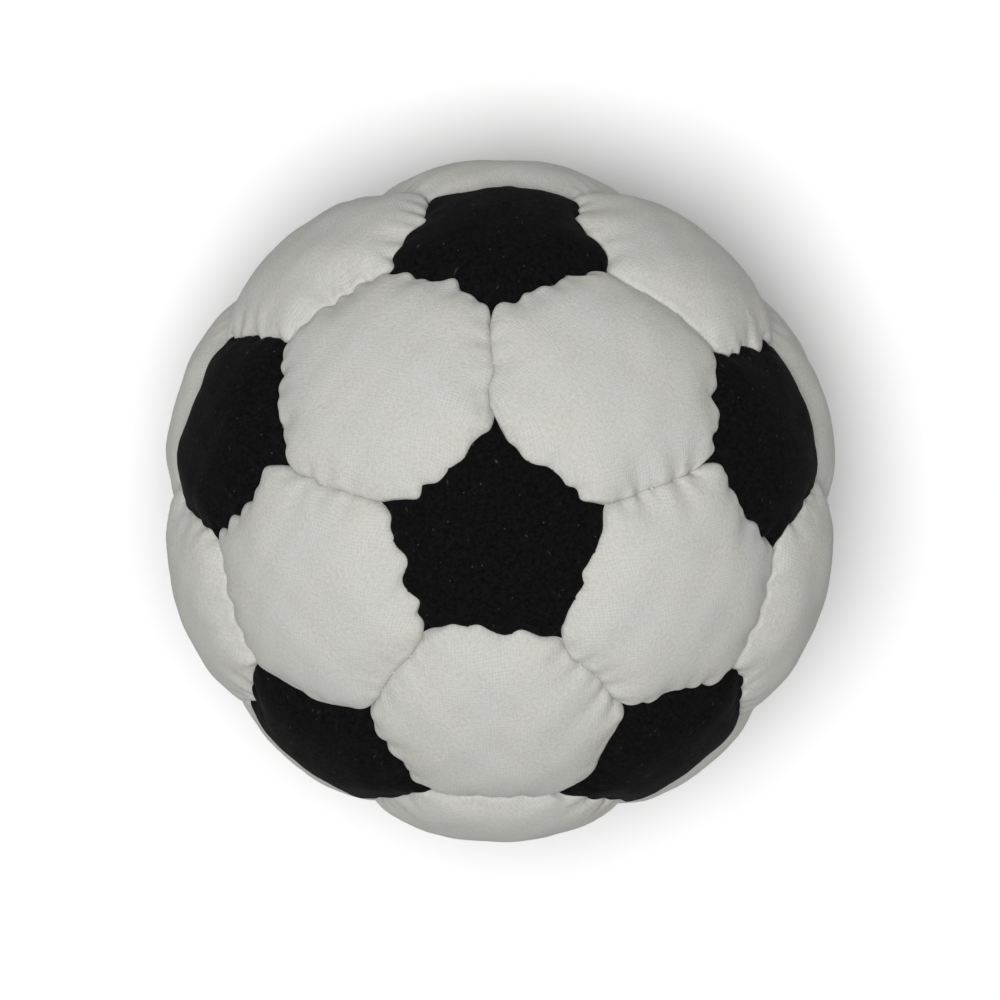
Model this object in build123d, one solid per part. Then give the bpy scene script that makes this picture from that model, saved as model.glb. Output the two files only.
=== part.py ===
"""Soft kick ball sewn from 12 black pentagons and 20 white hexagons of suede cloth.

The panels lie on a truncated icosahedron blown up into a ball. Every panel edge is turned
in towards the ball's centre, the two turned-in edges of a seam lie face to face, and one
whip stitch goes through both. Loose plastic beads fill the inside. The ball stands on the
flattened crown of its bottom pentagon, and the origin is the middle of that flat.
"""

import os
from dataclasses import dataclass
from itertools import combinations, product
from math import asin, atan, atan2, cos, degrees, pi, sin, sqrt, tan

from build123d import *

# Driving dimensions, in millimetres
BALL_DIAMETER = 57.0  # over the crowns of two opposite panels
CLOTH = 0.8  # thickness of the suede cloth
SEAM_SINK = 1.3  # how far the seam corners lie below the panel crowns
TURN_IN = 3.2  # cloth turned in at a seam, measured from the seam corners
SEAM_GAP = 0.1  # between the two turned-in edges of a seam
FOLD_RADIUS = 0.7  # outside rounding where a panel turns into its seam
TAB_SLOT = 0.4  # cut between neighbouring turned-in tabs of a panel
REST_FLAT = 0.9  # how far the bottom panel's crown is pressed flat

STITCHES = 5  # needle passes along one seam
STITCH_PITCH = 2.0  # between passes, measured at the seam
STITCH_SLANT = 0.1  # lean of the loops under the tabs, as a share of the pitch
THREAD_DIAMETER = 0.4
THREAD_CLEARANCE = 0.15  # between the thread's outside loops and the cloth
KNOT_DIAMETER = 0.7
HOLE_DIAMETER = 0.5
HOLE_SINK = 1.2  # needle holes lie this far below the seam corners

BEAD_DIAMETER = 5.0
BEAD_GAP = 0.1  # between neighbouring beads, and from a bead to cloth or thread

# Radii from the ball's centre
BALL_RADIUS = BALL_DIAMETER / 2
SEAM_RADIUS = BALL_RADIUS - SEAM_SINK
TAB_END_RADIUS = SEAM_RADIUS - TURN_IN
HOLE_RADIUS = SEAM_RADIUS - HOLE_SINK
REST_HEIGHT = BALL_RADIUS - REST_FLAT  # the ball's centre above the ground
BALL_CENTRE = Vector(0, 0, REST_HEIGHT)

# Offsets from a seam's middle plane
TAB_FACE = SEAM_GAP / 2 + CLOTH
THREAD_OFFSET = TAB_FACE + THREAD_CLEARANCE + THREAD_DIAMETER / 2
KNOT_FACE = THREAD_OFFSET + KNOT_DIAMETER / 2

# Cutters reach past what they cut
HOLE_CUTTER = 4 * CLOTH  # length of a needle hole's cylinder
SLOT_CUTTER = 6 * CLOTH  # length of a tab slot's box, across the corner

# Truncated icosahedron
RADIUS_OVER_EDGE = sqrt(58 + 18 * sqrt(5)) / 4  # centre to corner, over the edge length
RING_LATITUDE = atan(1 / 2)  # of the upper and lower rings of pentagons
NEIGHBOURS_DOT = 1 / sqrt(5)  # dot product of the directions of neighbouring pentagons
JUST_BELOW_NEIGHBOURS = 0.9 * NEIGHBOURS_DOT


# ---------------------------------------------------------------- where the panels lie


@dataclass
class Panel:
    """Where one panel lies: unit vectors from the ball's centre."""

    name: str
    middle: Vector
    corners: list

    def seam_normals(self):
        """Inward unit normals of the planes through the ball's centre and each side."""
        pairs = zip(self.corners, self.corners[1:] + self.corners[:1])
        return [start.cross(end).normalized() for start, end in pairs]

    def placed(self, solid):
        """A master solid, with its middle on +Z and a corner over +X, moved to here."""
        across = self.corners[0] - self.middle * self.corners[0].dot(self.middle)
        return Plane(origin=BALL_CENTRE, x_dir=across, z_dir=self.middle) * solid


def ring(latitude, first_turn):
    """Five unit vectors at a latitude, a fifth of a turn apart, counted from +Y."""
    turns = [pi / 2 + (k + first_turn) * 2 * pi / 5 for k in range(5)]
    return [
        Vector(cos(latitude) * cos(turn), cos(latitude) * sin(turn), sin(latitude))
        for turn in turns
    ]


def pentagon_middles():
    """Name and direction of each pentagon: the corners of an icosahedron."""
    middles = {"top": Vector(0, 0, 1), "bottom": Vector(0, 0, -1)}
    for k, (upper, lower) in enumerate(zip(ring(RING_LATITUDE, 0), ring(-RING_LATITUDE, 0.5))):
        middles[f"upper_{k + 1}"] = upper
        middles[f"lower_{k + 1}"] = lower
    return middles


def hexagon_neighbours():
    """Name of each hexagon, and of the three pentagons round it, counter-clockwise."""
    found = {}
    for k in range(5):
        here, after = k + 1, (k + 1) % 5 + 1
        found[f"top_{here}"] = ("top", f"upper_{here}", f"upper_{after}")
        found[f"upper_{here}"] = (f"upper_{after}", f"upper_{here}", f"lower_{here}")
        found[f"lower_{here}"] = (f"upper_{after}", f"lower_{here}", f"lower_{after}")
        found[f"bottom_{here}"] = ("bottom", f"lower_{after}", f"lower_{here}")
    return found


def along(start, end, share):
    """Unit vector a share of the way along an icosahedron's edge."""
    return (start * (1 - share) + end * share).normalized()


def counter_clockwise(middle, directions):
    """Directions sorted by their turn about a middle direction, seen from outside."""
    first = directions[0].cross(middle).normalized()
    second = middle.cross(first)
    return sorted(directions, key=lambda d: atan2(d.dot(second), d.dot(first)))


def pentagons():
    """The twelve pentagon panels."""
    middles = pentagon_middles()
    panels = []
    for name, middle in middles.items():
        others = [other for other in middles.values() if other is not middle]
        near = [other for other in others if other.dot(middle) > JUST_BELOW_NEIGHBOURS]
        corners = [along(middle, other, 1 / 3) for other in counter_clockwise(middle, near)]
        panels.append(Panel(name, middle, corners))
    return panels


def hexagons():
    """The twenty hexagon panels."""
    middles = pentagon_middles()
    panels = []
    for name, around in hexagon_neighbours().items():
        a, b, c = (middles[pentagon] for pentagon in around)
        edges = ((a, b), (b, c), (c, a))
        corners = [along(*edge, share) for edge, share in product(edges, (1 / 3, 2 / 3))]
        panels.append(Panel(name, (a + b + c).normalized(), corners))
    return panels


def corner_angle(sides):
    """Angle at the ball's centre between a panel's middle and its corners."""
    return asin(1 / (2 * sin(pi / sides) * RADIUS_OVER_EDGE))


def side_angle(sides):
    """Angle at the ball's centre between a panel's middle and the planes of its seams."""
    return atan(tan(corner_angle(sides)) * cos(pi / sides))


# ---------------------------------------------------------------- cloth panels


def crown_sphere(sides):
    """Height of the centre, and the radius, of the sphere that a panel bulges to.

    It touches the ball's diameter at the crown and passes through the seam corners.
    """
    drop = 2 * (BALL_RADIUS - SEAM_RADIUS * cos(corner_angle(sides)))
    centre = (BALL_RADIUS**2 - SEAM_RADIUS**2) / drop
    return centre, BALL_RADIUS - centre


def sphere_at(height, radius):
    """Sphere on +Z, turned so that its poles and its seam line miss the panel."""
    return Pos(0, 0, height) * Rot(0, 90, 0) * Sphere(radius)


def bulge(sides, inset, flat_height):
    """Solid between a panel's crown sphere and its seam planes, all moved in by inset.

    A flat height cuts the crown off level, for the panel that the ball stands on.
    """
    centre, radius = crown_sphere(sides)
    solid = sphere_at(centre, radius - inset)
    lean = side_angle(sides)
    for side in range(sides):
        turn = (side + 0.5) * 2 * pi / sides
        inwards = Vector(-cos(turn) * cos(lean), -sin(turn) * cos(lean), sin(lean))
        seam = Plane(origin=inwards * (SEAM_GAP / 2 + inset), z_dir=inwards)
        solid = split(solid, seam, keep=Keep.TOP)
    if flat_height:
        solid = split(solid, Plane.XY.offset(flat_height - inset), keep=Keep.BOTTOM)
    return solid


def needle_holes(sides):
    """Cylinders through the turned-in tabs, a row of them across each side."""
    cylinder = Rot(0, 90, 0) * Cylinder(HOLE_DIAMETER / 2, HOLE_CUTTER)
    for side, stitch in product(range(sides), stitch_angles()):
        to_side = Rot(0, 0, degrees((side + 0.5) * 2 * pi / sides))
        to_stitch = Rot(0, degrees(side_angle(sides)), 0) * Rot(degrees(stitch), 0, 0)
        yield to_side * to_stitch * Pos(0, 0, HOLE_RADIUS) * cylinder


def tab_slots(sides):
    """Thin boxes that part the neighbouring tabs at each corner, below the cloth."""
    top, bottom = SEAM_RADIUS - 2 * CLOTH, TAB_END_RADIUS - CLOTH
    box = Pos(0, 0, (top + bottom) / 2) * Box(SLOT_CUTTER, TAB_SLOT, top - bottom)
    for corner in range(sides):
        yield Rot(0, 0, 360 * corner / sides) * Rot(0, degrees(corner_angle(sides)), 0) * box


def cloth_panel(sides, flat_height=None):
    """One panel with its edges turned in, its middle on +Z and a corner over +X."""
    solid = bulge(sides, 0, flat_height)
    crown = solid.faces().filter_by(GeomType.SPHERE)[0]
    folds = [edge for edge in crown.edges() if edge.center().Z < BALL_RADIUS - REST_FLAT - CLOTH]
    solid = fillet(folds, FOLD_RADIUS)
    solid -= bulge(sides, CLOTH, flat_height)
    solid -= sphere_at(0, TAB_END_RADIUS)
    solid -= [*needle_holes(sides), *tab_slots(sides)]
    return solid


# ---------------------------------------------------------------- thread


def stitch_angles():
    """Angle of each needle pass from the seam's middle, in radians."""
    step = STITCH_PITCH / SEAM_RADIUS
    return [(k - (STITCHES - 1) / 2) * step for k in range(STITCHES)]


def at_seam(radius, angle, across):
    """Point by distance from the centre, angle along the seam and offset across it."""
    return Vector(radius * sin(angle), across, radius * cos(angle))


def seam_thread():
    """Whip stitch of one seam, knotted at both ends; the seam's middle is on +Z."""
    under = TAB_END_RADIUS - THREAD_CLEARANCE - THREAD_DIAMETER / 2
    step = STITCH_PITCH / SEAM_RADIUS
    turns = []
    for angle in stitch_angles():
        for side in (-1, 1):
            turns.append(at_seam(HOLE_RADIUS, angle, side * THREAD_OFFSET))
        for side in (1, -1):
            between = angle + (0.5 - side * STITCH_SLANT) * step
            turns.append(at_seam(under, between, side * THREAD_OFFSET))
    path = Polyline(*turns[:-2])
    section = Plane(path @ 0, z_dir=path % 0) * Circle(THREAD_DIAMETER / 2)
    thread = sweep(section, path, transition=Transition.RIGHT)
    return thread + [Pos(path @ end) * Sphere(KNOT_DIAMETER / 2) for end in (0, 1)]


def at_place(solid, start, end):
    """A master thread moved to the seam between two corner directions."""
    return Plane(origin=BALL_CENTRE, x_dir=end - start, z_dir=(start + end).normalized()) * solid


def pentagon_threads(thread):
    """The five seams round each pentagon, as one node each."""
    nodes = {}
    for panel in pentagons():
        pairs = zip(panel.corners, panel.corners[1:] + panel.corners[:1])
        nodes[f"pentagon_thread_{panel.name}"] = [at_place(thread, *pair) for pair in pairs]
    return nodes


def hexagon_threads(thread):
    """The seams between two hexagons, grouped by ring, with the last one sewn apart."""
    groups = {
        ("top", "upper"): "hexagon_thread_top",
        ("upper", "upper"): "hexagon_thread_upper",
        ("lower", "upper"): "hexagon_thread_middle",
        ("lower", "lower"): "hexagon_thread_lower",
        ("bottom", "lower"): "hexagon_thread_bottom",
    }
    nodes = {}
    for (name_a, a), (name_b, b) in combinations(pentagon_middles().items(), 2):
        if a.dot(b) < JUST_BELOW_NEIGHBOURS:
            continue
        rings = tuple(sorted((name_a.split("_")[0], name_b.split("_")[0])))
        node = "closing_thread" if (name_a, name_b) == ("bottom", "lower_1") else groups[rings]
        seam = at_place(thread, along(a, b, 1 / 3), along(a, b, 2 / 3))
        nodes.setdefault(node, []).append(seam)
    return nodes


# ---------------------------------------------------------------- filling


def close_packed(reach):
    """Points of close-packed layers, a bead and a gap apart, within a distance."""
    pitch = BEAD_DIAMETER + BEAD_GAP
    count = int(reach / pitch) + 2
    steps = range(-count, count + 1)
    for layer, row, column in product(steps, steps, steps):
        shift = layer % 2
        point = Vector(
            pitch * (column + (row % 2) / 2 + shift / 2),
            pitch * (row * sqrt(3) / 2 + shift * sqrt(3) / 6),
            pitch * layer * sqrt(2 / 3),
        )
        if point.length <= reach:
            yield point


def has_room(point, panels):
    """True if a bead centred here clears the cloth, the tabs and the thread."""
    bead_reach = BEAD_DIAMETER / 2 + BEAD_GAP
    under_loops = TAB_END_RADIUS - THREAD_CLEARANCE - THREAD_DIAMETER
    if point.length + bead_reach <= under_loops:
        return True
    for panel in panels:
        seam_distance = min(point.dot(normal) for normal in panel.seam_normals())
        if seam_distance < KNOT_FACE + bead_reach:
            continue
        centre, radius = crown_sphere(len(panel.corners))
        from_centre = (point - panel.middle * centre).length
        pressed = panel.name == "bottom" and point.Z - bead_reach < CLOTH - REST_HEIGHT
        return from_centre + bead_reach <= radius - CLOTH and not pressed
    return False


def filling_beads():
    """Every bead of the close-packed filling that has room inside the cloth."""
    panels = pentagons() + hexagons()
    bead = Sphere(BEAD_DIAMETER / 2)
    points = close_packed(BALL_RADIUS)
    return [Pos(BALL_CENTRE + point) * bead for point in points if has_room(point, panels)]


# ---------------------------------------------------------------- the whole ball


def nodes():
    """Every node's name and its solids."""
    pentagon = cloth_panel(5)
    pressed = cloth_panel(5, flat_height=REST_HEIGHT)
    hexagon = cloth_panel(6)
    thread = seam_thread()
    named = {}
    for panel in pentagons():
        master = pressed if panel.name == "bottom" else pentagon
        named[f"black_pentagon_{panel.name}"] = [panel.placed(master)]
    for panel in hexagons():
        named[f"white_hexagon_{panel.name}"] = [panel.placed(hexagon)]
    named |= pentagon_threads(thread)
    named |= hexagon_threads(thread)
    named["filling_beads"] = filling_beads()
    return named


os.makedirs("parts", exist_ok=True)
for name, solids in nodes().items():
    shape = solids[0] if len(solids) == 1 else Compound(children=solids)
    export_step(shape, f"parts/{name}.step")
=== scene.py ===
"""Looks of the soft kick ball: 32 sewn suede panels, their stitched seams and the beads inside.

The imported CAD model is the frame. Each panel is a sheet of cloth that is puffed up by a cloth
simulation of the whole sewn skin, then rolled over at its edges into the seams. Lengths are in
millimetres until a mesh is made, and the ball's centre is the origin of the panel maths.
"""

from itertools import combinations
from math import atan, cos, pi, radians, sin, sqrt

import bpy
import numpy as np
from mathutils import Matrix, Vector


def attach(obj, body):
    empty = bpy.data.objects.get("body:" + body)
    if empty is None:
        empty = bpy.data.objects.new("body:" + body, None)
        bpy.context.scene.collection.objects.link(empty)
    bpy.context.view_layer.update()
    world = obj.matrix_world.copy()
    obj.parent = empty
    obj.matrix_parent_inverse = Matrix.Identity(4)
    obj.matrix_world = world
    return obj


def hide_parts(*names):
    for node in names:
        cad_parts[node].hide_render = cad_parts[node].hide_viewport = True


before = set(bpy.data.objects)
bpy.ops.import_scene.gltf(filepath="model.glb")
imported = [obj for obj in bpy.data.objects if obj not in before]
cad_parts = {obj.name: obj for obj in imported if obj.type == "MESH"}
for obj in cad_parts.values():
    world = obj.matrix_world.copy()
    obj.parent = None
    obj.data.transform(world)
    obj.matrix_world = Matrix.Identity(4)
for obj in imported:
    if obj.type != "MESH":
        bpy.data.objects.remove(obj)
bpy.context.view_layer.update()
random = np.random.default_rng(32)

MM = 0.001

# Cloth, seams and thread
CLOTH = 0.8
SEAM_SINK = 2.0  # seam corners below the crowns, pulled in more than the plain CAD panels'
SEAM_GAP = 0.01  # between the turned-in tabs of two panels
TAB_DEPTH = 4.5  # from the crowns to the tabs' ends
STITCHES = 5  # along one seam
STITCH_PITCH = 2.0
STITCH_SLANT = 0.1  # of a pitch, under the tabs
THREAD_DIAMETER = 0.4

# The grid over a corner patch: even steps, then closer lines where the cloth rolls over
EVEN_LINES = 24
ROLL_LINES = 8
ROLL_SHARE = 0.07  # of the way from a seam to the panel's middle
ROLL_DEPTH = 0.4
ROLL_TURN = 0.93  # how far out on its quarter circle the cloth goes before its tab drops
ROLL_CORNER = 3.0  # how square a panel's corners are where they roll over; 2 is round
INNER_STEP = 4  # the hidden inside of a panel keeps one grid line in four
TAB_ROWS = 4

# How the seams wander, sideways. Reaches are shares of the way to a panel's middle.
CORNER_WANDER = 0.22
WANDER = {"pentagon": 0.38, "hexagon": 0.18}  # spread of the longest wave along a seam
SLOW_WAVES = 3
WANDER_REACH = 0.6
PENTAGON_HOLLOW = 0.05  # the fuller white panels push into the middle of a black side
SCALLOP = {"pentagon": (0.04, 0.24), "hexagon": (0.0, 0.1)}  # mean and spread between stitches
END_LOBE = 0.5  # of a seam's end lobes against the others
STITCH_JITTER = 0.3
RAGGED = {"pentagon": 0.19, "hexagon": 0.06}
RAGGED_WAVES = 12
RAGGED_FALL = 1.1  # the power by which the finer waves are smaller
ROUGHNESS = (0.25, 1.25)  # of one seam's edge against another's
RAGGED_REACH = 0.2
CORNER_TIP = 0.95  # black corners are drawn out into the white seams
CORNER_TIP_WIDTH = {"pentagon": 0.4, "hexagon": 1.7}  # along the seams that meet there
CORNER_TIP_RANGE = (0.3, 1.3)  # of one tip against another

# How the seams sink
SEAM_BULGE = 0.2  # rise at the middle of a side
STITCH_DIP = 0.3
STITCH_DIP_SPREAD = 0.15
TIGHTNESS = 0.38  # of one seam's stitches against another's, on average
TIGHTEST = 1.3
STITCH_WIDTH = 0.55
CORNER_DIP = 0.3
CORNER_DIP_WIDTH = 0.9
DIP_REACH = 0.14
PUCKER = 0.06
PUCKER_REACH = 0.28

# Cloth simulation
SIM_STEPS = 11  # grid steps of a patch; 11 puts a line near every stitch
SIM_FRAMES = 24
SIM_UNIT = 10.0  # millimetres in one unit of the simulation
SIM_QUALITY = 5
SIM_MASS = 0.3
SIM_GROWTH = 0.055  # the cloth is this much larger than the ball it is laid on
SIM_PRESSURE = 8.0
SIM_STRETCH = 20.0
SIM_SHEAR = 8.0
SIM_BENDING = 20.0
SIM_CAP = 3.0  # furthest that a point may move

# Unevenness
LUMP_WAVES = 12
LUMP_LENGTH = 9.0
LUMP_HEIGHT = 0.08
PRESS_SOFTNESS = 0.12  # how gently the cloth meets the ground

# Thread and grain
THREAD_SINK = 0.65  # the stitches' middle line below the seam
THREAD_CLEARANCE = 0.75  # of the thread's diameter, from its middle line to the tabs
THREAD_STEPS = 6
THREAD_SIDES = 8
ANY_WAY = (0.3, 0.5, 0.8)  # a direction that no panel faces, which sets where its grain starts
WEAVE_PITCH = 0.36

# Stage, in metres and degrees
FLOOR_SIZE = 60.0
FLOOR_BOUNCE = 0.58
SUN_DIRECTION = (-0.05, 0.05, 1.0)
SUN_STRENGTH = 3.2
SUN_SPREAD = 28
WORLD_STRENGTH = 0.18
BACKDROP_STRENGTH = 0.9
SENSOR = 36.0
CAMERA_DISTANCE = 0.9
CAMERA_NEAREST = 0.01
CAMERA_LEAN = 7.9  # from overhead towards +Y
CAMERA_TURN = 1.2  # from overhead towards +X
BALL_SHARE = 0.69  # of the picture's width that the ball fills


# ---------------------------------------------------------------- small maths


def unit(v):
    """Vectors along the last axis, made one long."""
    return v / np.linalg.norm(v, axis=-1, keepdims=True)


def smooth(x):
    """0 to 1 with level ends, for x from 0 to 1."""
    x = np.clip(x, 0, 1)
    return x * x * (3 - 2 * x)


def cubic_weights(at, count):
    """Weights that read a row of evenly spaced values at any places from 0 to 1, smoothly."""
    weights = np.zeros((len(at), count))
    place = np.clip(at * (count - 1), 0, count - 1)
    cell = np.minimum(place.astype(int), count - 2)
    t = place - cell
    basis = [
        (-t + 2 * t**2 - t**3) / 2,
        (2 - 5 * t**2 + 3 * t**3) / 2,
        (t + 4 * t**2 - 3 * t**3) / 2,
        (-(t**2) + t**3) / 2,
    ]
    for offset, share in zip((-1, 0, 1, 2), basis):
        column = cell + offset
        inside = np.clip(column, 0, count - 1)
        np.add.at(weights, (np.arange(len(at)), inside), share)
    return weights


def sine_sum(sizes, first, s):
    """Waves along 0 to 1 added up: the first has this many half turns, and each next one more."""
    return sum(size * np.sin((first + k) * pi * s) for k, size in enumerate(sizes))


# ---------------------------------------------------------------- meshes


def stored_points(mesh):
    """A mesh's points as they are stored."""
    points = np.empty(len(mesh.vertices) * 3)
    mesh.vertices.foreach_get("co", points)
    return points.reshape(-1, 3)


def smooth_mesh(name, points, faces):
    """A smooth-shaded mesh from millimetres about the ball's centre."""
    mesh = bpy.data.meshes.new(name)
    place = (points + [0, 0, CENTRE_HEIGHT]) * MM
    mesh.from_pydata(place.tolist(), [], [[int(n) for n in face] for face in faces])
    mesh.polygons.foreach_set("use_smooth", [True] * len(mesh.polygons))
    return mesh


def add_uv(mesh, name, spots):
    """A UV layer, from one spot for each vertex."""
    corners = np.empty(len(mesh.loops), int)
    mesh.loops.foreach_get("vertex_index", corners)
    layer = mesh.uv_layers.new(name=name)
    layer.data.foreach_set("uv", spots[corners].astype(np.float32).ravel())


def link(name, data):
    """A new object in the scene."""
    thing = bpy.data.objects.new(name, data)
    bpy.context.scene.collection.objects.link(thing)
    return thing


def stand_for(node, mesh, slot, materials):
    """A piece in one material, shown instead of a CAD node."""
    mesh.materials.append(materials[slot])
    piece = link(mesh.name, mesh)
    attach(piece, "root")
    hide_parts(node)


# ---------------------------------------------------------------- where the panels lie


def ring(latitude, first_turn):
    """Five unit vectors at a latitude, counted from +Y."""
    angles = pi / 2 + (np.arange(5) + first_turn) * 2 * pi / 5
    width, height = cos(latitude), sin(latitude)
    return [np.array([width * cos(a), width * sin(a), height]) for a in angles]


def panel_middles():
    """CAD name and direction of every panel, and of the pentagons alone."""
    upper, lower = ring(atan(1 / 2), 0), ring(-atan(1 / 2), 0.5)
    pentagons = {"top": np.array([0.0, 0, 1]), "bottom": np.array([0.0, 0, -1])}
    hexagons = {}
    for k in range(5):
        after = (k + 1) % 5
        pentagons[f"upper_{k + 1}"] = upper[k]
        pentagons[f"lower_{k + 1}"] = lower[k]
        hexagons[f"top_{k + 1}"] = (pentagons["top"], upper[k], upper[after])
        hexagons[f"upper_{k + 1}"] = (upper[after], upper[k], lower[k])
        hexagons[f"lower_{k + 1}"] = (upper[after], lower[k], lower[after])
        hexagons[f"bottom_{k + 1}"] = (pentagons["bottom"], lower[after], lower[k])
    return pentagons, hexagons


def third(a, b):
    """Corner of the ball's panels a third of the way from one pentagon's middle to the next."""
    return unit(2 * a + b)


def counter_clockwise(middle, corners):
    """Corners in order about a middle direction, seen from outside."""
    first = unit(np.cross(corners[0], middle))
    second = np.cross(middle, first)
    return sorted(corners, key=lambda c: np.arctan2(c @ second, c @ first))


def panel_corners():
    """CAD node, middle and corner directions of all 32 panels."""
    pentagons, hexagons = panel_middles()
    panels = []
    for name, middle in pentagons.items():
        near = [m for m in pentagons.values() if 0 < m @ middle < 0.9]
        corners = counter_clockwise(middle, [third(middle, other) for other in near])
        panels.append((f"black_pentagon_{name}", middle, corners))
    for name, around in hexagons.items():
        middle = unit(sum(around))
        pairs = [(a, b) for a in around for b in around if a is not b]
        corners = counter_clockwise(middle, [third(a, b) for a, b in pairs])
        panels.append((f"white_hexagon_{name}", middle, corners))
    return panels


def crown_height(node, direction):
    """How far a CAD node reaches along a direction, from the frame's origin, in millimetres."""
    return (stored_points(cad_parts[node].data) @ direction).max() / MM


def ball_centre_and_radius():
    """Height of the ball's centre and its radius, from the crowns of two pentagons."""
    top = crown_height("black_pentagon_top", np.array([0, 0, 1]))
    direction = panel_middles()[0]["upper_1"]
    side = crown_height("black_pentagon_upper_1", direction)
    height = (top - side) / (1 - direction[2])
    return height, top - height


CENTRE_HEIGHT, BALL_RADIUS = ball_centre_and_radius()
SEAM_RADIUS = BALL_RADIUS - SEAM_SINK
TAB_END_RADIUS = BALL_RADIUS - TAB_DEPTH
PANELS = panel_corners()


# ---------------------------------------------------------------- seams


class Seam:
    """One of the 90 seams: how it wanders, scallops and dips between two corners."""

    def __init__(self, start, end, towards, kind):
        self.start, self.end = start, end
        across = unit(np.cross(start, end))
        self.across = across if across @ towards > 0 else -across
        self.kind = kind
        slow = np.arange(1, SLOW_WAVES + 1)
        self.slow = random.normal(0, WANDER[kind] / np.sqrt(slow))
        rough = random.uniform(*ROUGHNESS)
        fast = SLOW_WAVES + np.arange(1, RAGGED_WAVES + 1)
        self.fast = random.normal(0, rough * RAGGED[kind] * (SLOW_WAVES / fast) ** RAGGED_FALL)
        mean, spread = SCALLOP[kind]
        self.lobes = random.normal(mean, rough * spread, STITCHES + 1)
        self.lobes[[0, -1]] *= END_LOBE
        tightness = min(random.exponential(TIGHTNESS), TIGHTEST)
        self.dips = tightness * np.abs(random.normal(STITCH_DIP, STITCH_DIP_SPREAD, STITCHES))
        self.puckers = tightness * random.normal(PUCKER, 0.5 * PUCKER, STITCHES)
        self.length = SEAM_RADIUS * np.linalg.norm(end - start)
        offsets = (np.arange(STITCHES) - (STITCHES - 1) / 2) * STITCH_PITCH
        offsets += random.normal(0, STITCH_JITTER, STITCHES)
        self.stitches = 0.5 + offsets / self.length

    def wander(self, s):
        """Slow shift across the seam, towards the first panel that it was made for."""
        shift = sine_sum(self.slow, 1, s)
        if self.kind == "pentagon":
            shift = shift + PENTAGON_HOLLOW * np.sin(pi * s)
        return shift

    def ragged(self, s):
        """Small shift across the seam: a lobe between every two stitches, and a rough edge."""
        knots = np.concatenate([[0], self.stitches, [1]])
        lobe = np.clip(np.searchsorted(knots, s, side="right") - 1, 0, STITCHES)
        through = np.clip((s - knots[lobe]) / (knots[lobe + 1] - knots[lobe]), 0, 1)
        return self.lobes[lobe] * np.sin(pi * through) + sine_sum(self.fast, SLOW_WAVES + 1, s)

    def near_stitches(self, s, depths, width):
        """Depth at each place, with a dip of the given width at every stitch."""
        gap = (s[:, None] - self.stitches[None, :]) * self.length
        return (depths * np.exp(-((gap / width) ** 2))).sum(1)


def key(direction):
    """A direction as something that can be looked up."""
    return tuple(np.round(direction, 5) + 0.0)


def sew_seams():
    """Every seam, by the keys of its two corners, and each corner's wander and drawn-out tip."""
    seams, wander, tips = {}, {}, {}
    for node, middle, corners in PANELS:
        kind = "pentagon" if node.startswith("black") else "hexagon"
        for start, end in zip(corners, corners[1:] + corners[:1]):
            pair = frozenset((key(start), key(end)))
            if pair not in seams:
                seams[pair] = Seam(start, end, middle, kind)
            if key(start) not in wander:
                shift = random.normal(0, CORNER_WANDER, 3)
                wander[key(start)] = shift - start * (shift @ start)
                length = CORNER_TIP * random.uniform(*CORNER_TIP_RANGE)
                tips[key(start)] = length * unit(start - middle)
    return seams, wander, tips


SEAMS, CORNER_SHIFTS, CORNER_TIPS = sew_seams()


# ---------------------------------------------------------------- patches


def fine_lines():
    """Grid lines of the shown cloth, from a panel's middle (0) to its seam (1)."""
    even = np.linspace(0, 1 - ROLL_SHARE, EVEN_LINES + 1)
    turn = np.linspace(0, pi / 2, ROLL_LINES + 1)[1:]
    return np.concatenate([even, 1 - ROLL_SHARE * (1 - np.sin(turn))])


def corner_patches():
    """Panel number, corner number and corner points of each panel's corner patches.

    The points lie in the plane through the panel's corners: middle, middle of the side before
    the corner, the corner, and middle of the side after it.
    """
    patches = []
    for number, (_, middle, corners) in enumerate(PANELS):
        flat = [c / (c @ middle) for c in corners]
        for k, corner in enumerate(flat):
            after = (corner + flat[(k + 1) % len(flat)]) / 2
            before = (corner + flat[k - 1]) / 2
            patches.append((number, k, middle, before, corner, after))
    return patches


PATCHES = corner_patches()
PANEL_OF_PATCH = np.array([patch[0] for patch in PATCHES])
MIDDLE_OF_PATCH = np.array([patch[2] for patch in PATCHES])[:, None, None, :]


def patch_directions(lines, inset=0.0):
    """Unit directions of all grid points: [patch, to side before, to side after, xyz]."""
    u, v = lines[:, None, None], lines[None, :, None]
    grids = []
    for _, _, middle, before, corner, after in PATCHES:
        scale = 1 - inset / (SEAM_RADIUS * np.linalg.norm(before - middle))
        to_before, to_corner, to_after = ((p - middle) * scale for p in (before, corner, after))
        flat = u * (1 - v) * to_before + (1 - u) * v * to_after + u * v * to_corner
        grids.append(unit(middle + flat))
    return np.array(grids)


def side_values(lines, value):
    """value(seam, s) along the two seam sides of every patch: [patch, before or after, line].

    The lines run from the middle of a side to its corner, and s from the seam's start to its end.
    """
    rows = []
    for number, k, *_ in PATCHES:
        corners = PANELS[number][2]
        pair = []
        for other in (corners[k - 1], corners[(k + 1) % len(corners)]):
            seam = SEAMS[frozenset((key(corners[k]), key(other)))]
            share = 0.5 - lines / 2
            pair.append(value(seam, share if key(seam.start) == key(corners[k]) else 1 - share))
        rows.append(pair)
    return np.array(rows)


def spread_inwards(sides, fade):
    """Values on the two seam sides of each patch, carried over the patch as they fade."""
    extra = (1,) * (sides.ndim - 3)
    from_before = fade.reshape(1, -1, 1, *extra)
    from_after = fade.reshape(1, 1, -1, *extra)
    before, after = sides[:, 0][:, None, :], sides[:, 1][:, :, None]
    corner = sides[:, 0, -1][:, None, None]
    return from_before * before + from_after * after - from_before * from_after * corner


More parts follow.
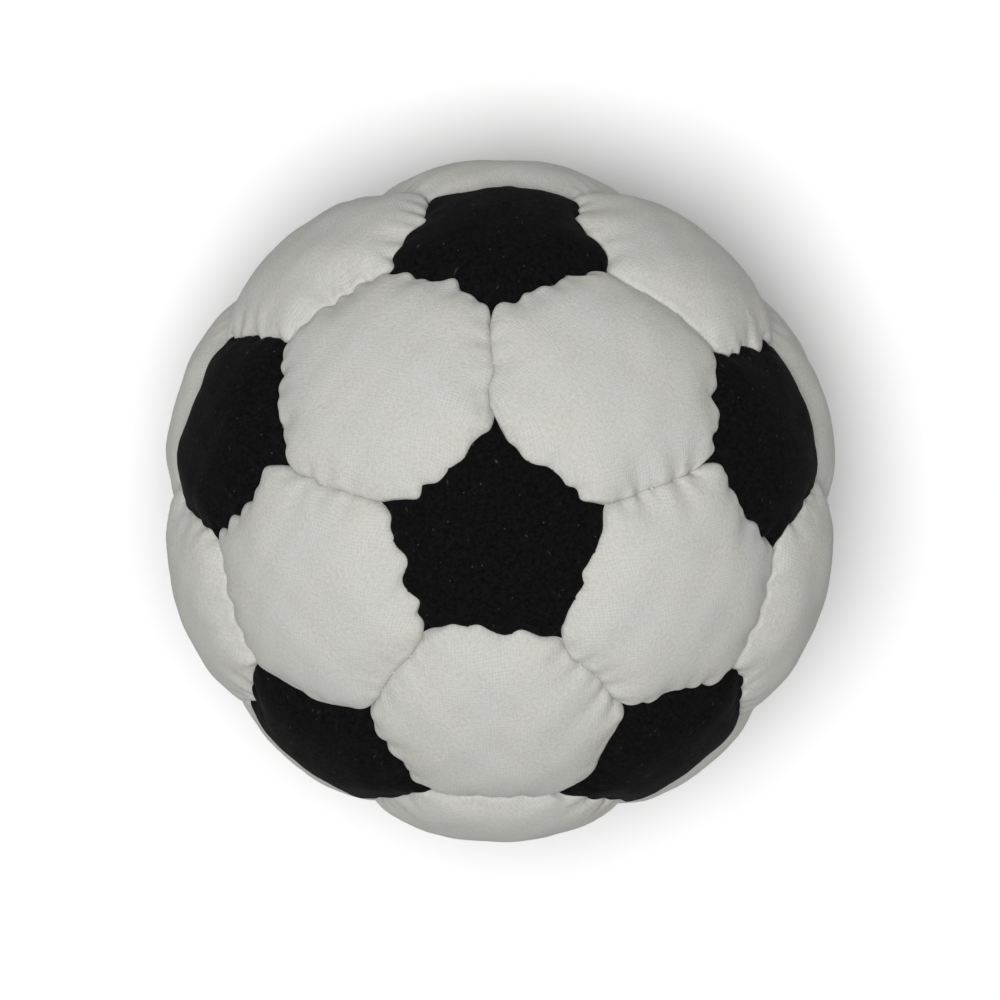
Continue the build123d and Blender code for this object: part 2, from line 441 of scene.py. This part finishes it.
def fade_over(lines, share):
    """1 at the seam, falling to 0 a share of the way in to the panel's middle."""
    return smooth((lines - (1 - share)) / share)


def seam_wander(seam, s):
    """How far the seam has wandered, as vectors."""
    share = s[:, None]
    ends = (1 - share) * CORNER_SHIFTS[key(seam.start)] + share * CORNER_SHIFTS[key(seam.end)]
    return ends + seam.wander(s)[:, None] * seam.across


def seam_ragged(seam, s):
    """Small shifts of the seam, as vectors."""
    rate = seam.length / CORNER_TIP_WIDTH[seam.kind]
    near_start, near_end = np.exp(-s * rate)[:, None], np.exp((s - 1) * rate)[:, None]
    tips = near_start * CORNER_TIPS[key(seam.start)] + near_end * CORNER_TIPS[key(seam.end)]
    return tips + seam.ragged(s)[:, None] * seam.across


def seam_dip(seam, s):
    """How far the seam sinks: at its corners and at each stitch, less between them."""
    from_end = np.minimum(s, 1 - s) * seam.length
    corner = CORNER_DIP * np.exp(-((from_end / CORNER_DIP_WIDTH) ** 2))
    return corner + seam.near_stitches(s, seam.dips, STITCH_WIDTH) - SEAM_BULGE * np.sin(pi * s)


def seam_pucker(seam, s):
    """Depth of the creases that run from the stitches into the cloth."""
    return seam.near_stitches(s, seam.puckers, STITCH_WIDTH)


def base_skin(lines, inset=0.0, ragged=True):
    """Points of every patch on the ball through the seams, before it is puffed up."""
    shift = spread_inwards(side_values(lines, seam_wander), fade_over(lines, WANDER_REACH))
    if ragged:
        shift += spread_inwards(side_values(lines, seam_ragged), fade_over(lines, RAGGED_REACH))
    dip = spread_inwards(side_values(lines, seam_dip), fade_over(lines, DIP_REACH))
    directions = unit(patch_directions(lines, inset) * SEAM_RADIUS + shift)
    return directions * (SEAM_RADIUS - dip)[..., None]


def weld(directions):
    """Number of each grid point's vertex, and the first place that each vertex is found."""
    flat = np.round(directions.reshape(-1, 3), 5) + 0.0
    _, first, index = np.unique(flat, axis=0, return_index=True, return_inverse=True)
    return index.reshape(directions.shape[:-1]), first


def grid_faces(index):
    """Quads over grids of vertex numbers, facing outwards: [..., i, j] to [n, 4]."""
    corners = (index[..., :-1, :-1], index[..., 1:, :-1], index[..., 1:, 1:], index[..., :-1, 1:])
    return np.stack(corners, -1).reshape(-1, 4)


# ---------------------------------------------------------------- cloth simulation


def add_cloth(skin, pins):
    """Cloth that is a little too large, blown up by pressure and held along the sewn seams."""
    cloth = skin.modifiers.new("Cloth", "CLOTH")
    settings = cloth.settings
    settings.quality = SIM_QUALITY
    settings.mass = SIM_MASS
    settings.tension_stiffness = SIM_STRETCH
    settings.compression_stiffness = SIM_STRETCH
    settings.shear_stiffness = SIM_SHEAR
    settings.bending_stiffness = SIM_BENDING
    settings.shrink_min = -SIM_GROWTH
    settings.use_pressure = True
    settings.uniform_pressure_force = SIM_PRESSURE
    settings.vertex_group_mass = pins.name
    settings.effector_weights.gravity = 0
    cloth.collision_settings.use_collision = False
    cloth.point_cache.frame_end = SIM_FRAMES


def puff_up():
    """Cloth simulation of the whole sewn skin under pressure from its filling.

    Returns how far each coarse grid point of each patch moves.
    """
    lines = np.linspace(0, 1, SIM_STEPS + 1)
    start = base_skin(lines, ragged=False)
    index, first = weld(patch_directions(lines))
    mesh = bpy.data.meshes.new("skin")
    places = start.reshape(-1, 3)[first] / SIM_UNIT
    mesh.from_pydata(places.tolist(), [], grid_faces(index).tolist())
    skin = link("skin", mesh)
    on_seam = np.zeros(index.shape, bool)
    on_seam[:, -1, :] = on_seam[:, :, -1] = True
    pins = skin.vertex_groups.new(name="sewn")
    pins.add(np.unique(index[on_seam]).tolist(), 1.0, "REPLACE")
    add_cloth(skin, pins)
    for step in range(1, SIM_FRAMES + 1):
        bpy.context.scene.frame_set(step)
    points = stored_points(skin.evaluated_get(bpy.context.evaluated_depsgraph_get()).to_mesh())
    bpy.data.objects.remove(skin)
    bpy.context.scene.frame_set(1)
    moved = points[index] * SIM_UNIT - start
    length = np.linalg.norm(moved, axis=-1, keepdims=True)
    return moved * np.minimum(1, SIM_CAP / np.maximum(length, 1e-9))


# ---------------------------------------------------------------- panels


def roll_over(lines):
    """Share of a quarter turn's depth at every grid point, where the cloth turns into a seam."""
    share = np.clip((lines - (1 - ROLL_SHARE)) / ROLL_SHARE, 0, 1) ** ROLL_CORNER
    both = np.minimum(1, share[:, None] + share[None, :]) ** (1 / ROLL_CORNER) * ROLL_TURN
    return 1 - np.sqrt(np.maximum(0, 1 - both**2))


def lumps(points):
    """Gentle unevenness from the filling pressing on the cloth: a sum of seeded waves."""
    height = 0
    for _ in range(LUMP_WAVES):
        wave = random.normal(0, 2 * pi / LUMP_LENGTH, 3)
        height = height + np.sin(points @ wave + random.uniform(0, 2 * pi))
    return height * LUMP_HEIGHT / sqrt(LUMP_WAVES)


def press_flat(points, thickness=0.0):
    """Cloth below the ground, or below its own thickness over it, is pressed up."""
    ground = thickness - CENTRE_HEIGHT
    height = PRESS_SOFTNESS * np.logaddexp(0, (points[..., 2] - ground) / PRESS_SOFTNESS)
    return np.concatenate([points[..., :2], (ground + height)[..., None]], -1)


def rise_at(lines, moved):
    """The simulation's moves, read at finer or coarser grid lines."""
    weights = cubic_weights(lines, SIM_STEPS + 1)
    return np.einsum("ia,jb,pabx->pijx", weights, weights, moved)


def outer_skin(lines, moved):
    """Every patch of the shown cloth."""
    points = base_skin(lines) + rise_at(lines, moved)
    out = unit(points)
    pucker = spread_inwards(side_values(lines, seam_pucker), fade_over(lines, PUCKER_REACH))
    depth = pucker + ROLL_DEPTH * roll_over(lines)[None]
    to_seam = np.maximum(lines[:, None], lines[None, :])
    height = lumps(points) * (1 - to_seam**4)[None]
    points = points + out * (height - depth)[..., None]
    pull = fade_over(lines, ROLL_SHARE)
    pull = np.maximum(pull[:, None], pull[None, :])[None, ..., None]
    middle = SEAM_RADIUS * MIDDLE_OF_PATCH
    return points + unit(middle - points) * pull * SEAM_GAP / 2


def inner_skin(lines, moved):
    """Every patch of the cloth's hidden inside, one cloth thickness in."""
    points = base_skin(lines, CLOTH) + rise_at(lines, moved)
    return points - unit(points) * CLOTH


def seam_loop(grid):
    """Points or numbers round a panel's seam, counter-clockwise, from its patches' grids."""
    sides = []
    for patch in grid:
        sides += [patch[-1, :-1], patch[::-1, -1][:-1]]
    return np.concatenate(sides)


def band(upper, lower):
    """Quads between two loops of vertex numbers, which face outwards."""
    quads = zip(upper, lower, np.roll(lower, -1), np.roll(upper, -1))
    return [list(quad) for quad in quads]


def panel_mesh(name, outer, inner, outer_index, inner_index):
    """Closed mesh of one panel: crown, turned-in tabs and the inside.

    outer and inner are the panel's patches of points, each with its index and first from weld.
    """
    points, faces = [], []

    def add(rows):
        start = sum(len(p) for p in points)
        points.append(rows)
        return start + np.arange(len(rows))

    index, first = outer_index
    crown = add(outer.reshape(-1, 3)[first])[index]
    faces += grid_faces(crown).tolist()
    index, first = inner_index
    inside = add(inner.reshape(-1, 3)[first])[index]
    faces += grid_faces(inside)[:, ::-1].tolist()
    rim, rim_ids = seam_loop(outer), seam_loop(crown)
    top = np.linalg.norm(rim, axis=1, keepdims=True)
    for share in np.linspace(0, 1, TAB_ROWS + 1)[1:]:
        row = add(unit(rim) * (top * (1 - share) + TAB_END_RADIUS * share))
        faces += band(rim_ids, row)
        rim_ids = row
    bottom = add(unit(seam_loop(inner)) * TAB_END_RADIUS)
    faces += [quad[::-1] for quad in band(seam_loop(inside), bottom)]
    step = len(rim_ids) // len(bottom)
    for a in range(len(bottom)):
        edge = [rim_ids[(a * step + k) % len(rim_ids)] for k in range(step + 1)]
        faces.append([*edge[::-1], bottom[a], bottom[(a + 1) % len(bottom)]])
    mesh = smooth_mesh(name, np.concatenate(points), faces)
    mesh.validate()
    return mesh


def add_grain(mesh, middle):
    """UV map in millimetres over the cloth, turned so that every panel has its own grain."""
    angle = random.uniform(0, 2 * pi)
    first = unit(np.cross(middle, ANY_WAY))
    second = np.cross(middle, first)
    across = cos(angle) * first + sin(angle) * second
    along = cos(angle) * second - sin(angle) * first
    points = stored_points(mesh) / MM - [0, 0, CENTRE_HEIGHT]
    add_uv(mesh, "grain", np.stack([points @ across, points @ along], 1))


def make_panels(materials):
    """The 32 cloth panels, each standing for its CAD node."""
    lines = fine_lines()
    coarse = lines[::INNER_STEP]
    moved = puff_up()
    outer = press_flat(outer_skin(lines, moved))
    inner = press_flat(inner_skin(coarse, moved), CLOTH)
    outer_places, inner_places = patch_directions(lines), patch_directions(coarse)
    for number, (node, middle, _) in enumerate(PANELS):
        mine = PANEL_OF_PATCH == number
        indices = weld(outer_places[mine]), weld(inner_places[mine])
        mesh = panel_mesh(f"{node}_cloth", outer[mine], inner[mine], *indices)
        add_grain(mesh, middle)
        slot = "black_suede" if node.startswith("black") else "white_suede"
        stand_for(node, mesh, slot, materials)


# ---------------------------------------------------------------- thread


def thread_seams():
    """The seams that each CAD thread node sews."""
    pentagons, _ = panel_middles()
    groups = {}
    for node, middle, corners in PANELS[: len(pentagons)]:
        name = node.removeprefix("black_pentagon_")
        pairs = zip(corners, corners[1:] + corners[:1])
        groups[f"pentagon_thread_{name}"] = [SEAMS[frozenset(map(key, pair))] for pair in pairs]
    rings = {
        ("top", "upper"): "top",
        ("upper", "upper"): "upper",
        ("lower", "upper"): "middle",
        ("lower", "lower"): "lower",
        ("bottom", "lower"): "bottom",
    }
    for (name_a, a), (name_b, b) in combinations(pentagons.items(), 2):
        if a @ b < 0:
            continue
        pair = tuple(sorted((name_a.split("_")[0], name_b.split("_")[0])))
        node = f"hexagon_thread_{rings[pair]}"
        if {name_a, name_b} == {"bottom", "lower_1"}:
            node = "closing_thread"
        seam = SEAMS[frozenset((key(third(a, b)), key(third(b, a))))]
        groups.setdefault(node, []).append(seam)
    return groups


def whip_stitches(seam):
    """Middle line of the thread of one seam, from knot to knot."""
    side_offset = SEAM_GAP / 2 + CLOTH + THREAD_CLEARANCE * THREAD_DIAMETER
    step = STITCH_PITCH / seam.length
    under = TAB_END_RADIUS - THREAD_DIAMETER
    turns = []
    for place in seam.stitches:
        turns += [(place, side * side_offset, None) for side in (-1, 1)]
        for side in (1, -1):
            turns.append((place + (0.5 - side * STITCH_SLANT) * step, side * side_offset, under))
    points = []
    for place, side, radius in turns[:-2]:
        s = np.array([np.clip(place, 0, 1)])
        direction = unit((1 - s) * seam.start + s * seam.end)
        top = SEAM_RADIUS - seam_dip(seam, s)[0] - THREAD_SINK
        shift = seam_wander(seam, s)[0] + seam_ragged(seam, s)[0] + side * seam.across
        points.append(unit(direction * SEAM_RADIUS + shift) * (radius or top))
    return rounded(np.array(points))


def rounded(points):
    """A smooth line through points, with even small steps."""
    at = np.linspace(0, 1, (len(points) - 1) * THREAD_STEPS + 1)
    return cubic_weights(at, len(points)) @ points


def tube(line, radius, sides):
    """Points and faces of a tube along a line, with (turns, length) for each point."""
    along = unit(np.gradient(line, axis=0))
    across = unit(np.cross(along[0], line[0]))
    rings, spots = [], []
    turns = np.arange(sides) / sides * 2 * pi
    length = np.concatenate([[0], np.cumsum(np.linalg.norm(np.diff(line, axis=0), axis=1))])
    for point, direction, reach in zip(line, along, length):
        across = unit(across - direction * (across @ direction))
        other = np.cross(direction, across)
        circle = np.cos(turns)[:, None] * across + np.sin(turns)[:, None] * other
        rings.append(point + radius * circle)
        spots += [(turn / (2 * pi), reach) for turn in turns]
    faces = []
    for row in range(len(line) - 1):
        for k in range(sides):
            a, b = row * sides + k, row * sides + (k + 1) % sides
            faces.append([a, b, b + sides, a + sides])
    last = (len(line) - 1) * sides
    faces.append(list(range(sides))[::-1])
    faces.append([last + k for k in range(sides)])
    return np.concatenate(rings), faces, spots


def make_threads(materials):
    """The thread of every CAD thread node, following its wandering seams."""
    for node, seams in thread_seams().items():
        points, faces, spots = [], [], []
        for seam in seams:
            line = whip_stitches(seam)
            tube_points, tube_faces, tube_spots = tube(line, THREAD_DIAMETER / 2, THREAD_SIDES)
            faces += [[n + len(spots) for n in face] for face in tube_faces]
            points.append(tube_points)
            spots += tube_spots
        mesh = smooth_mesh(f"{node}_yarn", np.concatenate(points), faces)
        add_uv(mesh, "twist", np.array(spots))
        slot = "black_thread" if node.startswith("pentagon") else "white_thread"
        stand_for(node, mesh, slot, materials)


# ---------------------------------------------------------------- materials

# Colours are linear, with alpha. A cloth has two tints, in clouds, and painted shade in the low
# gaps of its nap.
WHITE_TINTS = ((0.60, 0.588, 0.535, 1), (0.56, 0.568, 0.548, 1))
# painted shade: the white cloth's colour in the low gaps of its nap and weave, and how much of it
WHITE_GAP_SHADE = (0.42, 0.42, 0.395, 1)
WHITE_GAP_SHADE_SHARE = 0.7
BLACK_TINTS = ((0.0095, 0.0083, 0.0081, 1), (0.0078, 0.0082, 0.0098, 1))
# painted shade: the black cloth's colour in the low gaps of its nap
BLACK_GAP_SHADE = (0.0012, 0.0012, 0.0013, 1)
LINT_GREY = (0.075, 0.077, 0.085, 1)
LINT_BROWN = (0.10, 0.085, 0.078, 1)
# each thread's own colour on its strands, then painted shade between the strands
THREAD_COLOURS = {
    "white_thread": ((0.52, 0.51, 0.475, 1), (0.34, 0.335, 0.31, 1)),
    "black_thread": ((0.014, 0.014, 0.0145, 1), (0.004, 0.004, 0.004, 1)),
}
PLASTIC_TINTS = ((0.78, 0.79, 0.77, 1), (0.66, 0.68, 0.67, 1))
FLOOR_TINTS = ((0.87, 0.87, 0.87, 1), (0.855, 0.855, 0.855, 1))

# Grain: directions in the cloth, and how far the weave is pulled out of line
WARP = (0.96, 0.28, 0)
WEFT = (-0.28, 0.96, 0)
DRIFT = 1.2
DRIFT_RATE = 0.3  # waves in a millimetre
NAP_SHARE = 0.68  # of the white cloth's relief, against its weave
LINT_SPECK = (0.03, 0.12)  # from the solid middle of a speck to its edge, in cells
LINT_CHANCE = 0.35  # cells below this have none
LINT_LENGTH = 2.5  # of a hair against its width


class Shader:
    """A material's node tree, built by calls that take sockets or plain values."""

    def __init__(self, name):
        self.material = bpy.data.materials.new(name)
        self.material.use_nodes = True
        self.tree = self.material.node_tree
        self.tree.nodes.clear()

    def add(self, kind, inputs=None, output=0, **settings):
        """A node with its settings and inputs; gives back one of its output sockets."""
        node = self.tree.nodes.new(kind)
        for name, value in settings.items():
            setattr(node, name, value)
        for name, value in (inputs or {}).items():
            if isinstance(value, bpy.types.NodeSocket):
                self.tree.links.new(value, node.inputs[name])
            else:
                node.inputs[name].default_value = value
        return node.outputs[output] if node.outputs else node

    def maths(self, operation, a, b=0.0):
        """One step of arithmetic."""
        return self.add("ShaderNodeMath", {0: a, 1: b}, operation=operation)

    def waves(self, coords, direction, pitch):
        """Stripes from -1 to 1 across a direction, a pitch apart."""
        inputs = {0: coords, 1: tuple(2 * pi * d / pitch for d in direction)}
        place = self.add("ShaderNodeVectorMath", inputs, output="Value", operation="DOT_PRODUCT")
        return self.maths("SINE", place)

    def noise(self, coords, size, detail=2.0, roughness=0.5):
        """Smooth noise from 0 to 1 with spots of about this size."""
        inputs = {"Vector": coords, "Scale": 1 / size, "Detail": detail, "Roughness": roughness}
        return self.add("ShaderNodeTexNoise", inputs, output="Fac")

    def ramp(self, value, low, high, at_low=0.0, at_high=1.0):
        """A value from low..high carried to at_low..at_high, held at the ends."""
        inputs = {"Value": value, "From Min": low, "From Max": high}
        inputs |= {"To Min": at_low, "To Max": at_high}
        return self.add("ShaderNodeMapRange", inputs, output="Result")

    def mix_values(self, share, first, second):
        """A number between two."""
        return self.add("ShaderNodeMix", {0: share, 2: first, 3: second})

    def mix(self, share, first, second):
        """A colour between two: a Mix node's sockets 6, 7 and 2 are its colours."""
        inputs = {0: share, 6: first, 7: second}
        return self.add("ShaderNodeMix", inputs, output=2, data_type="RGBA")

    def bump(self, height, depth):
        """A normal for a height from 0 to 1 over a depth in millimetres."""
        inputs = {"Height": height, "Distance": depth * MM, "Strength": 1.0}
        return self.add("ShaderNodeBump", inputs)

    def surface(self, **inputs):
        """The Principled surface and the material's output."""
        named = {name.replace("_", " "): value for name, value in inputs.items()}
        shader = self.add("ShaderNodeBsdfPrincipled", named)
        self.add("ShaderNodeOutputMaterial", {"Surface": shader})
        return self.material


def suede_coords(shader):
    """The panel's grain coordinates in millimetres, and the same gently pulled about."""
    grain = shader.add("ShaderNodeUVMap", uv_map="grain")
    inputs = {"Vector": grain, "Scale": DRIFT_RATE, "Detail": 3.0}
    drift = shader.add("ShaderNodeTexNoise", inputs, output="Color")
    pulled = shader.add("ShaderNodeVectorMath", {0: drift, "Scale": DRIFT}, operation="SCALE")
    return grain, shader.add("ShaderNodeVectorMath", {0: grain, 1: pulled}, operation="ADD")


def white_suede():
    """Off-white brushed microfibre, worn in places down to the fine weave under its nap, with
    painted shade in its low gaps.
    """
    shader = Shader("white_suede")
    grain, pulled = suede_coords(shader)
    warp, weft = (shader.waves(pulled, way, WEAVE_PITCH) for way in (WARP, WEFT))
    weave = shader.ramp(shader.maths("MULTIPLY", warp, weft), -1, 1)
    nap = shader.noise(grain, 0.3, detail=5.0, roughness=0.75)
    worn = shader.ramp(shader.noise(grain, 2.5, detail=3.0), 0.35, 0.65)
    weave = shader.mix_values(worn, shader.ramp(nap, 0.3, 0.7), weave)
    height = shader.mix_values(NAP_SHARE, weave, nap)
    cloud = shader.noise(grain, 5.0, detail=4.0, roughness=0.6)
    tint = shader.mix(shader.ramp(cloud, 0.35, 0.65), *WHITE_TINTS)
    # painted shade, darker where the nap and weave are low
    gap_shade = shader.ramp(height, 0.3, 0.72, WHITE_GAP_SHADE_SHARE, 0.0)
    return shader.surface(
        Base_Color=shader.mix(gap_shade, tint, WHITE_GAP_SHADE),
        Roughness=0.95,
        Specular_IOR_Level=0.15,
        Sheen_Weight=0.05,
        Sheen_Roughness=0.5,
        Normal=shader.bump(height, 0.06),
    )


def lint(shader, place, size, stretch, amount):
    """Share of pale lint: specks in some of the cells of a scattered pattern."""
    inputs = {0: place, 1: (1, 1 / stretch, 1)}
    scaled = shader.add("ShaderNodeVectorMath", inputs, operation="MULTIPLY")
    inputs = {"Vector": scaled, "Scale": 1 / size}
    distance = shader.add("ShaderNodeTexVoronoi", inputs, output="Distance")
    tag = shader.add("ShaderNodeTexVoronoi", inputs, output="Color")
    chance = shader.add("ShaderNodeSeparateColor", {"Color": tag}, output="Red")
    speck = shader.ramp(distance, *LINT_SPECK, 1.0, 0.0)
    return shader.maths("MULTIPLY", speck, shader.ramp(chance, LINT_CHANCE, 1.0, 0.0, amount))


def black_suede():
    """Deep black velour, a little mottled, with painted shade in the low gaps of its nap and
    specks and hairs of pale lint in it.
    """
    shader = Shader("black_suede")
    grain, pulled = suede_coords(shader)
    nap = shader.noise(pulled, 0.35, detail=5.0, roughness=0.8)
    brushed = shader.noise(grain, 2.5, detail=3.0, roughness=0.6)
    tint = shader.mix(shader.ramp(brushed, 0.3, 0.7), *BLACK_TINTS)
    # painted shade where the nap is low
    cloth = shader.mix(shader.ramp(nap, 0.33, 0.7), BLACK_GAP_SHADE, tint)
    specks = shader.mix(lint(shader, grain, 0.75, 1.0, 0.7), cloth, LINT_GREY)
    hairs = shader.mix(lint(shader, pulled, 0.95, LINT_LENGTH, 0.7), specks, LINT_BROWN)
    return shader.surface(
        Base_Color=hairs,
        Roughness=1.0,
        Specular_IOR_Level=0.05,
        Sheen_Weight=shader.ramp(brushed, 0.3, 0.7, 0.005, 0.02),
        Sheen_Roughness=0.4,
        Normal=shader.bump(nap, 0.08),
    )


def twisted_thread(name):
    """Twisted sewing thread in its own colour on its strands, with painted shade between them."""
    light, shade_between_strands = THREAD_COLOURS[name]
    shader = Shader(name)
    twist = shader.add("ShaderNodeUVMap", uv_map="twist")
    strands = shader.waves(twist, (2.0, 1.6, 0), 1.0)
    height = shader.ramp(strands, -1, 1)
    return shader.surface(
        # painted shade between the strands
        Base_Color=shader.mix(height, shade_between_strands, light),
        Roughness=0.6,
        Sheen_Weight=0.2,
        Normal=shader.bump(height, 0.06),
    )


def moulded_beads():
    """Moulded plastic pellets, a little cloudy and uneven."""
    shader = Shader("filling")
    place = shader.add("ShaderNodeTexCoord", output="Object")
    cloud = shader.noise(place, 4 * MM, detail=3.0)
    pits = shader.noise(place, 0.3 * MM)
    return shader.surface(
        Base_Color=shader.mix(cloud, *PLASTIC_TINTS),
        Roughness=shader.ramp(cloud, 0.3, 0.7, 0.35, 0.5),
        Normal=shader.bump(pits, 0.02),
    )


def floor_material():
    """Pale matt studio floor, faintly mottled, that throws back less light than it shows."""
    shader = Shader("floor")
    place = shader.add("ShaderNodeTexCoord", output="Object")
    seen = shader.mix(shader.noise(place, 30 * MM, detail=3.0), *FLOOR_TINTS)
    by_camera = shader.add("ShaderNodeLightPath", output="Is Camera Ray")
    colour = shader.mix(by_camera, (FLOOR_BOUNCE, FLOOR_BOUNCE, FLOOR_BOUNCE, 1), seen)
    return shader.surface(Base_Color=colour, Roughness=0.9, Specular_IOR_Level=0.0)


def make_materials():
    """Every material of the object, by the record's slots."""
    materials = {name: twisted_thread(name) for name in THREAD_COLOURS}
    materials["white_suede"] = white_suede()
    materials["black_suede"] = black_suede()
    materials["filling"] = moulded_beads()
    return materials


# ---------------------------------------------------------------- stage


def soft_sun():
    """One broad, soft light that comes from nearly overhead."""
    light = bpy.data.lights.new("key", "SUN")
    light.energy = SUN_STRENGTH
    light.angle = radians(SUN_SPREAD)
    lamp = link("key", light)
    lamp.rotation_euler = Vector(SUN_DIRECTION).to_track_quat("Z", "Y").to_euler()


def pale_world():
    """Soft light from all round. The camera itself sees a backdrop as pale as the floor."""
    world = bpy.data.worlds.new("studio")
    world.use_nodes = True
    nodes, links = world.node_tree.nodes, world.node_tree.links
    background = nodes["Background"]
    background.inputs["Color"].default_value = (1, 1, 1, 1)
    seen = nodes.new("ShaderNodeLightPath").outputs["Is Camera Ray"]
    strength = nodes.new("ShaderNodeMapRange")
    links.new(seen, strength.inputs["Value"])
    strength.inputs["To Min"].default_value = WORLD_STRENGTH
    strength.inputs["To Max"].default_value = BACKDROP_STRENGTH
    links.new(strength.outputs["Result"], background.inputs["Strength"])
    bpy.context.scene.world = world


def make_stage():
    """Pale floor, soft light and plain colours."""
    half = FLOOR_SIZE / 2
    corners = [(-half, -half, 0), (half, -half, 0), (half, half, 0), (-half, half, 0)]
    mesh = bpy.data.meshes.new("floor")
    mesh.from_pydata(corners, [], [(0, 1, 2, 3)])
    mesh.materials.append(floor_material())
    link("floor", mesh)
    soft_sun()
    pale_world()
    bpy.context.scene.view_settings.view_transform = "Standard"


def make_camera():
    """Long lens from nearly overhead, leaning towards +Y, with +Y up in the picture."""
    camera = bpy.data.cameras.new("camera")
    camera.sensor_width = SENSOR
    camera.lens = SENSOR * CAMERA_DISTANCE / (2 * BALL_RADIUS * MM / BALL_SHARE)
    camera.clip_start = CAMERA_NEAREST
    eye = link("camera", camera)
    lean = radians(CAMERA_LEAN)
    back = Vector((sin(radians(CAMERA_TURN)), sin(lean), cos(lean))).normalized()
    up = Vector((0, 1, 0))
    right = up.cross(back).normalized()
    up = back.cross(right)
    target = Vector((0, 0, CENTRE_HEIGHT * MM))
    rotation = Matrix((right, up, back)).transposed()
    eye.matrix_world = Matrix.Translation(target + back * CAMERA_DISTANCE) @ rotation.to_4x4()
    bpy.context.scene.camera = eye


materials = make_materials()
make_panels(materials)
make_threads(materials)
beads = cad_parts["filling_beads"]
beads.data.materials.clear()
beads.data.materials.append(materials["filling"])
make_stage()
make_camera()
